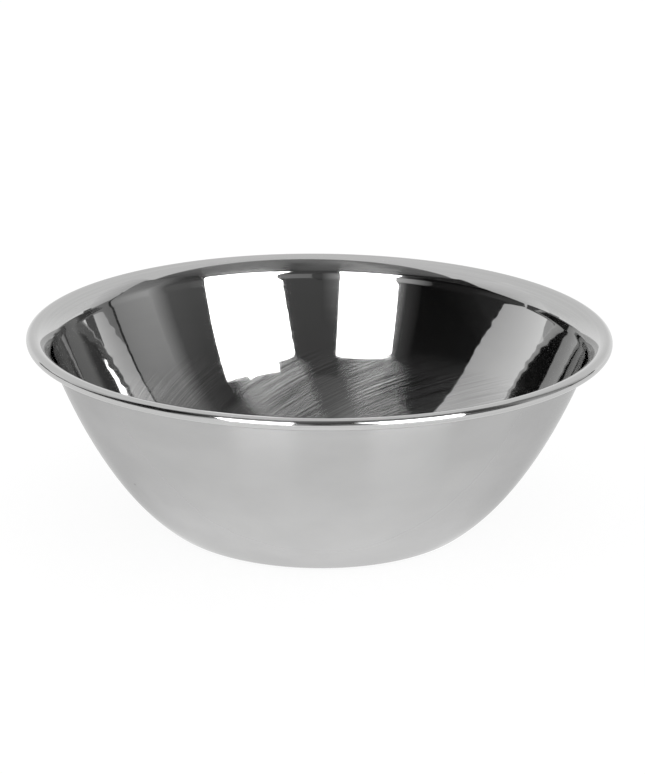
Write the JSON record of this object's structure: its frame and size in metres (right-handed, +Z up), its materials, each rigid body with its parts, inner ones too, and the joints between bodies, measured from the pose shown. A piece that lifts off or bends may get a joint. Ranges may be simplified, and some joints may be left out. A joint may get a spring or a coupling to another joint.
{
  "type": "mixing bowl",
  "caption": "Round stainless-steel mixing bowl with a flat bottom, a curved flaring wall and a rolled hollow bead for a lip.",
  "frame": {"origin": "centre of the flat underside, on the surface the bowl stands on", "axes": "+Z up along the bowl's axis of revolution, out of its mouth; X and Y are alike, because the bowl is round"},
  "size_m": [0.3, 0.3, 0.1025],
  "materials": {
    "steel": "bright polished stainless steel with faint turning and polishing marks"
  },
  "bodies": {
    "root": {"bowl": "steel"}
  },
  "joints": []
}
